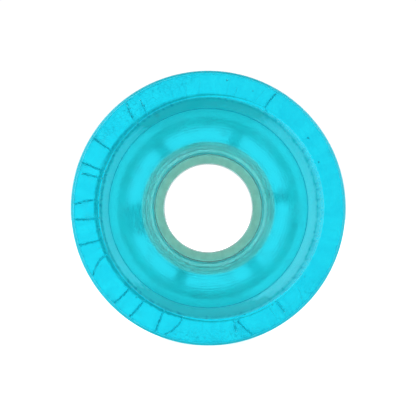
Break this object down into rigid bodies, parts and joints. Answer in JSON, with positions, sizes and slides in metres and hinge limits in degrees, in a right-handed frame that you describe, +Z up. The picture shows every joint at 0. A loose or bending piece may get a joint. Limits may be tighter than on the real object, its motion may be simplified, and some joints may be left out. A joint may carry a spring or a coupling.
{
  "type": "caster wheel",
  "caption": "Bare clear polyurethane caster wheel, cast through a spoked plastic core with a ball bearing seat in each end.",
  "frame": {"origin": "centre of the wheel, on its axis and midway between its two sides", "axes": "+Y along the axis the wheel turns about, +Z up, +X the way it rolls; the side towards -Y is the front"},
  "size_m": [0.056, 0.028, 0.056],
  "materials": {
    "polyurethane": "gloss",
    "core_plastic": "satin"
  },
  "bodies": {
    "root": {"tyre": "polyurethane", "core": "core_plastic"}
  },
  "joints": []
}
